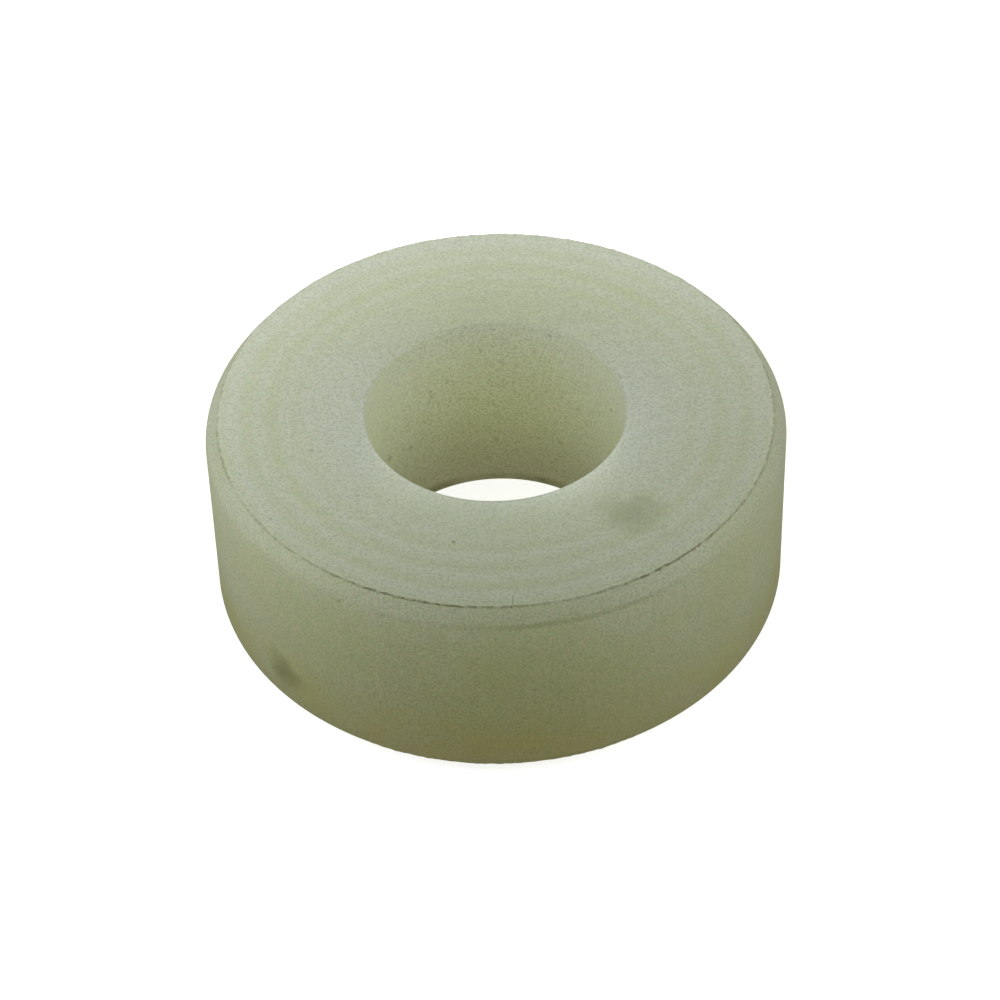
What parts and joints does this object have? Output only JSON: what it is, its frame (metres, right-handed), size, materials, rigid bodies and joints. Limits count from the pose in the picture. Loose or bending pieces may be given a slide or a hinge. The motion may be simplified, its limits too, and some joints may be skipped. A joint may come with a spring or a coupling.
{
  "type": "flat washer",
  "caption": "Thick flat washer: a plain round plastic ring with a central bolt bore, flat faces and chamfered rims.",
  "frame": {"origin": "centre of the seating face, on the bore's axis", "axes": "+Z along the bore, from the seating face to the other flat face; the washer is round, so X and Y are any two square directions across it"},
  "size_m": [0.02, 0.02, 0.0075],
  "materials": {
    "natural_nylon": "satin"
  },
  "bodies": {
    "root": {"washer": "natural_nylon"}
  },
  "joints": []
}
